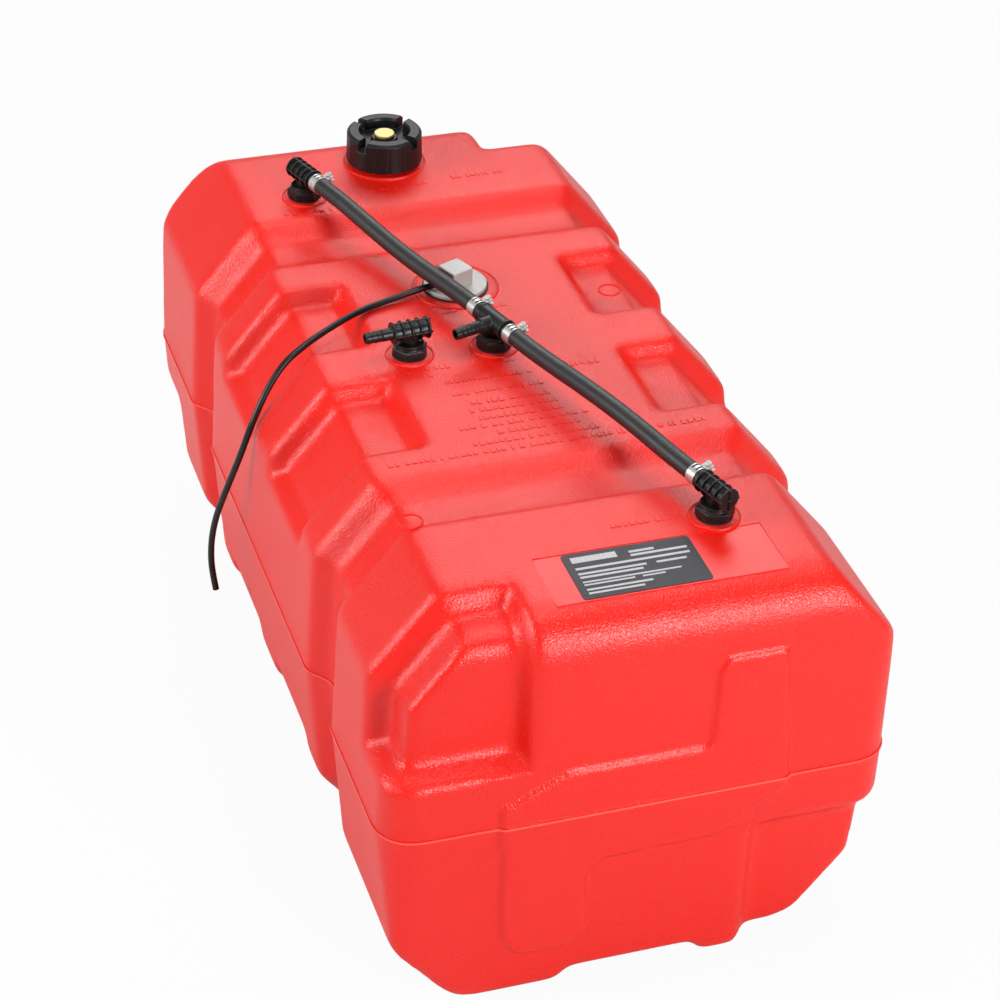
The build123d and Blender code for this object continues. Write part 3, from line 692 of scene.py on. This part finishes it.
def round_edges(skin, sizes):
    """Clears the round seats and the neck away, and softens the rest but for the end bands."""
    choose_faces(skin, seat_detail)
    bpy.ops.mesh.delete(type="FACE")
    bpy.ops.mesh.select_all(action="SELECT")
    bpy.ops.mesh.fill_holes(sides=0)
    leave()
    modify(skin, "REMESH", mode="VOXEL", voxel_size=sizes.moulding_voxel, adaptivity=0.0)
    soft = skin.vertex_groups.new(name="off_the_bands")
    for vertex in skin.data.vertices:
        soft.add([vertex.index], softness(*(vertex.co / MM)), "REPLACE")
    modify(skin, "SMOOTH", factor=0.5, iterations=1)
    modify(skin, "SMOOTH", factor=0.5, iterations=sizes.edge_softness, vertex_group=soft.name)
    skin.vertex_groups.clear()
    modify(skin, "DECIMATE", ratio=SKIN_KEPT)


def add_parting_ridge(skin, sizes):
    """A ridge in steps round the middle, each a slice of a slightly swollen skin."""
    ridges = []
    for share, half in RIDGE_STEPS:
        take(skin)
        bpy.ops.object.duplicate()
        ridge = bpy.context.view_layer.objects.active
        modify(ridge, "DISPLACE", mid_level=0.0, strength=share * sizes.parting_ridge,
               direction="NORMAL")
        slab = block_between("parting_slab", (-RIDGE_REACH[0], -RIDGE_REACH[1], PARTING - half),
                             (*RIDGE_REACH, PARTING + half))
        combine(ridge, slab, "INTERSECT")
        ridges.append(ridge)
    for ridge in ridges:
        combine(skin, ridge, "UNION")


def build_moulding(sizes, colours):
    skin, cavity = split_moulding()
    round_edges(skin, sizes)
    add_parting_ridge(skin, sizes)
    low_x, high_x, low_y, high_y = LABEL_SEAT
    combine(skin, block_between("seat_fill", (low_x, low_y, SEAT_TOP - SEAT_BLOCK),
                                (high_x, high_y, SEAT_TOP)), "UNION")
    combine(skin, block_between("seat_cut", (low_x, low_y, SEAT_TOP),
                                (high_x, high_y, SEAT_TOP + SEAT_BLOCK)), "DIFFERENCE")
    for place in PORTS.values():
        combine(skin, seat_ring(place, PORT_SEAT), "UNION")
    combine(skin, seat_ring(SENDER_PLACE, SENDER_SEAT), "UNION")
    combine(skin, seat_ring(CAP_PLACE, CAP_SEAT), "UNION")
    combine(skin, filler_neck(), "UNION")
    combine(skin, embossed_marks(), "UNION")
    combine(skin, cavity, "DIFFERENCE")
    shade(skin, 30)
    skin.name = "tank_moulding"
    finish_piece(skin, "tank", "tank_red", ["tank_body"], pebbled_red_plastic(sizes, colours),
                 smooth_red_plastic(sizes, colours))
    for face in skin.data.polygons:
        x, y, z = face.center / MM
        on_seat = low_x < x < high_x and low_y < y < high_y and abs(z - SEAT_TOP) < 0.05
        face.material_index = 1 if on_seat else 0


def embossed_marks():
    """Rows of small low pads, and the two ring marks, as one set of closed shells."""
    chance = random.Random(7)
    marks = []
    for x, start, end, top in PAD_ROWS:
        y = start
        while y < end - ROW_REST:
            length = min(chance.uniform(*PAD_LENGTHS), end - y)
            half = chance.uniform(*PAD_HALF_WIDTHS)
            low, high = (x - half, y, top - PAD_ROOT), (x + half, y + length, top + PAD_HEIGHT)
            marks.append(block_between("pad", low, high))
            y += length + chance.choice(PAD_GAPS)
    marks = join(marks)
    for place in RING_MARKS:
        marks = join([marks, lathe("ring_mark", RING_PROFILE, place, 48)])
    return marks


def seat_ring(place, radius):
    """A flat seat with a low bead round its edge."""
    profile = [(0, -4), (radius, -4), (radius, 0.6), (radius - 0.3, 1.2), (radius - 0.9, 1.5),
               (radius - 1.6, 1.2), (radius - 2.0, 0.5), (radius - 3.0, 0.4), (radius - 3.8, 0.8),
               (0, 0.8)]
    return lathe("seat", profile, place)


def filler_neck():
    """A solid neck with three turns of thread, drawn as plain rings."""
    profile = [(0, -6), (NECK_OUTER, -6), (NECK_OUTER, 0)]
    for turn in range(3):
        low = 2.6 + 4.6 * turn
        profile += [(NECK_OUTER - 0.5, low - 0.4), (NECK_OUTER - 0.5, low),
                    (NECK_OUTER, low + 1.0), (NECK_OUTER, low + 1.8), (NECK_OUTER - 0.5, low + 2.8)]
    profile += [(NECK_OUTER - 0.8, NECK_HEIGHT), (0, NECK_HEIGHT)]
    return lathe("neck", profile, CAP_PLACE, 128)


# ---------------------------------------------------------------- fittings, cap and label
def soften(node, body, slot, material, voxel, passes, keep):
    """Puts a copy with the rounded edges of a moulding in place of a node."""
    piece = copy_of(node, node + "_moulded")
    modify(piece, "REMESH", mode="VOXEL", voxel_size=voxel * MM, adaptivity=0.0)
    modify(piece, "SMOOTH", factor=0.5, iterations=passes)
    modify(piece, "DECIMATE", ratio=keep)
    shade(piece, 50)
    finish_piece(piece, body, slot, [node], material)


def make_label(colours):
    """A dark bare plate with rounded corners and rows of plain pale bars."""
    low, high = (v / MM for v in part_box("label_plate"))
    plate = block_between("label_bare", low, high)
    edit(plate, "EDGE")
    bpy.ops.mesh.select_all(action="DESELECT")
    leave()
    for edge in plate.data.edges:
        first, second = (plate.data.vertices[index].co for index in edge.vertices)
        edge.select = abs(first.z - second.z) > 0.0003
    bpy.ops.object.mode_set(mode="EDIT")
    bpy.ops.mesh.bevel(offset=0.003, segments=6, affect="EDGES")
    leave()
    plate.data.materials.append(label_film(colours))
    bars = []
    for down, tall, start, end in LABEL_BARS:
        x, y, top = low.x + down, low.y, high.z
        bars.append(block_between("bar", (x - tall / 2, y + start, top - BAR_ROOT),
                                  (x + tall / 2, y + end, top + BAR_HEIGHT)))
    bars = join(bars)
    bars.data.materials.append(label_pale_ink())
    join([plate, bars])
    shade(plate)
    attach(plate, "tank")
    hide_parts("label_plate")


def add_plug_latch(black):
    """The black latch of the sender's plug, under the top edge of the alloy block."""
    shells = []
    for length in LATCH_LENGTHS:
        shell = block_between("latch", *zip(length, LATCH_WIDTH, LATCH_HEIGHT))
        edit(shell, "EDGE")
        bpy.ops.mesh.select_all(action="SELECT")
        bpy.ops.mesh.bevel(offset=0.0006, segments=2, affect="EDGES")
        leave()
        shells.append(shell)
    latch = join(shells)
    latch.name = "sender_plug_latch"
    turn = Matrix.Rotation(math.radians(BLOCK_TURN), 4, "Z")
    latch.data.transform(Matrix.Translation(Vector(SENDER_PLACE) * MM) @ turn)
    shade(latch)
    finish_piece(latch, "tank", "fitting_black", [], black)


# ---------------------------------------------------------------- stage
def seen_directly(nodes, links, to_camera, to_mirrors):
    """A share for camera rays, another for mirror and see-through rays, nought for the rest."""
    path = nodes.new("ShaderNodeLightPath")
    total = None
    for kind, share in (("Is Camera Ray", to_camera), ("Is Glossy Ray", to_mirrors),
                        ("Is Transmission Ray", to_mirrors)):
        part = nodes.new("ShaderNodeMath")
        part.operation = "MULTIPLY"
        part.inputs[1].default_value = share
        links.new(path.outputs[kind], part.inputs[0])
        if total:
            higher = nodes.new("ShaderNodeMath")
            higher.operation = "MAXIMUM"
            links.new(total, higher.inputs[0])
            links.new(part.outputs[0], higher.inputs[1])
            part = higher
        total = part.outputs[0]
    return total


def show_over(nodes, links, soft, shown, seen, output):
    """Shows one shader to the rays that see it directly, and lights the scene with the other."""
    mix = nodes.new("ShaderNodeMixShader")
    links.new(seen_directly(nodes, links, *seen), mix.inputs["Fac"])
    links.new(soft.outputs[0], mix.inputs[1])
    links.new(shown.outputs[0], mix.inputs[2])
    links.new(mix.outputs[0], nodes[output].inputs["Surface"])


def build_air():
    world = bpy.data.worlds.new("studio_air")
    bpy.context.scene.world = world
    world.use_nodes = True
    nodes, links = world.node_tree.nodes, world.node_tree.links
    soft = nodes["Background"]
    soft.inputs["Color"].default_value = (1.0, 1.0, 1.0, 1.0)
    soft.inputs["Strength"].default_value = AIR_STRENGTH
    shown = nodes.new("ShaderNodeBackground")
    shown.inputs["Strength"].default_value = 1.0
    show_over(nodes, links, soft, shown, AIR_SEEN, "World Output")


def build_floor(colours):
    bpy.ops.mesh.primitive_plane_add(size=14.0, location=(0, 0, -0.0003))
    floor = bpy.context.view_layer.objects.active
    floor.name = "pale_floor"
    bpy.ops.object.transform_apply(location=True, rotation=True, scale=True)
    material = bpy.data.materials.new("pale_floor")
    material.use_nodes = True
    nodes, links = material.node_tree.nodes, material.node_tree.links
    base = nodes["Principled BSDF"]
    base.inputs["Base Color"].default_value = (*colours.floor, 1.0)
    base.inputs["Roughness"].default_value = 0.9
    base.inputs["Specular IOR Level"].default_value = 0.1
    glow = nodes.new("ShaderNodeEmission")
    glow.inputs["Strength"].default_value = 1.0
    show_over(nodes, links, base, glow, FLOOR_SEEN, "Material Output")
    floor.data.materials.append(material)


def build_stage(colours):
    bpy.context.scene.view_settings.view_transform = "Standard"
    build_air()
    build_floor(colours)
    for name, place, aim, (wide, tall), power in LAMPS:
        bpy.ops.object.light_add(type="AREA", location=place)
        lamp = bpy.context.view_layer.objects.active
        lamp.name = name
        lamp.data.shape = "RECTANGLE"
        lamp.data.size = wide
        lamp.data.size_y = tall
        lamp.data.energy = power
        lamp.rotation_euler = (Vector(aim) - Vector(place)).to_track_quat("-Z", "Y").to_euler()


# ---------------------------------------------------------------- operators
class TANK_OT_camera(bpy.types.Operator):
    """Camera that looks down along the tank from its label end"""
    bl_idname = "tank.camera"
    bl_label = "Camera"

    def execute(self, context):
        place_camera()
        return {"FINISHED"}


class TANK_OT_cable(bpy.types.Operator):
    """Cable that hangs from the level sender over the tank's side"""
    bl_idname = "tank.cable"
    bl_label = "Sender cable"

    def execute(self, context):
        lay_cable(context.scene.tank_sizes)
        return {"FINISHED"}


class TANK_OT_moulding(bpy.types.Operator):
    """Hollow red moulding with soft edges, seats, neck and parting ridge"""
    bl_idname = "tank.moulding"
    bl_label = "Moulding"

    def execute(self, context):
        build_moulding(context.scene.tank_sizes, context.scene.tank_colours)
        return {"FINISHED"}


class TANK_OT_label(bpy.types.Operator):
    """Bare dark label plate with plain bars"""
    bl_idname = "tank.label"
    bl_label = "Label"

    def execute(self, context):
        make_label(context.scene.tank_colours)
        return {"FINISHED"}


class TANK_OT_fittings(bpy.types.Operator):
    """Elbows, tee and adapters with the soft edges of black mouldings"""
    bl_idname = "tank.fittings"
    bl_label = "Fittings"

    def execute(self, context):
        black = moulded_black_plastic(context.scene.tank_colours)
        for node, body in (("rear_vent_elbow", "tank"), ("front_vent_elbow", "tank"),
                           ("fuel_elbow", "outlet"), ("tee_body", "tank")):
            soften(node, body, "fitting_black", black, voxel=0.38, passes=3, keep=0.35)
        for name in PORTS:
            soften(name + "_adapter", "tank", "fitting_black", black, voxel=0.45, passes=3,
                   keep=0.35)
        return {"FINISHED"}


class TANK_OT_cap(bpy.types.Operator):
    """Filler cap with four softened lugs"""
    bl_idname = "tank.cap"
    bl_label = "Filler cap"

    def execute(self, context):
        black = moulded_black_plastic(context.scene.tank_colours, "satin_black_cap",
                                      (0.29, 0.40))
        soften("filler_cap", "cap", "cap_black", black, voxel=0.4, passes=2, keep=0.3)
        return {"FINISHED"}


class TANK_OT_small_parts(bpy.types.Operator):
    """Finishes of the parts that keep their engineering shapes"""
    bl_idname = "tank.small_parts"
    bl_label = "Small parts"

    def execute(self, context):
        colours = context.scene.tank_colours
        black = made_materials["moulded_black_plastic"]
        seal = soft_seal_rubber()
        dress(black, "sender_insert", "sender_clip", "sender_float", "pickup_tube", "cap_liner")
        add_plug_latch(black)
        dress(seal, *(f"{name}_seal" for name in PORTS), *(f"{name}_oring" for name in PORTS),
              "cap_gasket", "relief_seal", "sender_gasket")
        dress(vent_hose_rubber(colours), "rear_hose", "front_hose")
        dress(zinc_plated_steel(colours), "rear_vent_clamp", "rear_tee_clamp", "front_tee_clamp",
              "front_vent_clamp", "clamp_screws", "clamp_nuts", "relief_spring")
        dress(turned_brass(colours), "relief_valve")
        dress(brushed_alloy(colours), "sender_head", "sender_stem", "pickup_strainer")
        return {"FINISHED"}


class TANK_OT_stage(bpy.types.Operator):
    """Pale floor, soft lamps and white surroundings"""
    bl_idname = "tank.stage"
    bl_label = "Stage"

    def execute(self, context):
        build_stage(context.scene.tank_colours)
        return {"FINISHED"}


class TANK_PT_panel(bpy.types.Panel):
    """Lists the tank's pieces and their settings"""
    bl_idname = "TANK_PT_panel"
    bl_label = "Outboard fuel tank"
    bl_space_type = "VIEW_3D"
    bl_region_type = "UI"
    bl_category = "Fuel tank"

    def draw(self, context):
        for group in (context.scene.tank_sizes, context.scene.tank_colours):
            for key in group.bl_rna.properties.keys():
                if key not in ("rna_type", "name"):
                    self.layout.prop(group, key)
        for step in STEPS:
            self.layout.operator(step.bl_idname)


STEPS = (TANK_OT_camera, TANK_OT_cable, TANK_OT_moulding, TANK_OT_label, TANK_OT_fittings,
         TANK_OT_cap, TANK_OT_small_parts, TANK_OT_stage)
CLASSES = (TankSizes, TankColours, *STEPS, TANK_PT_panel)


def register():
    for item in CLASSES:
        bpy.utils.register_class(item)
    bpy.types.Scene.tank_sizes = PointerProperty(type=TankSizes)
    bpy.types.Scene.tank_colours = PointerProperty(type=TankColours)


def unregister():
    del bpy.types.Scene.tank_colours
    del bpy.types.Scene.tank_sizes
    for item in reversed(CLASSES):
        bpy.utils.unregister_class(item)


def main():
    register()
    bpy.ops.tank.camera()
    bpy.ops.tank.cable()
    bpy.ops.tank.moulding()
    bpy.ops.tank.label()
    bpy.ops.tank.fittings()
    bpy.ops.tank.cap()
    bpy.ops.tank.small_parts()
    bpy.ops.tank.stage()


if __name__ == "__main__":
    main()
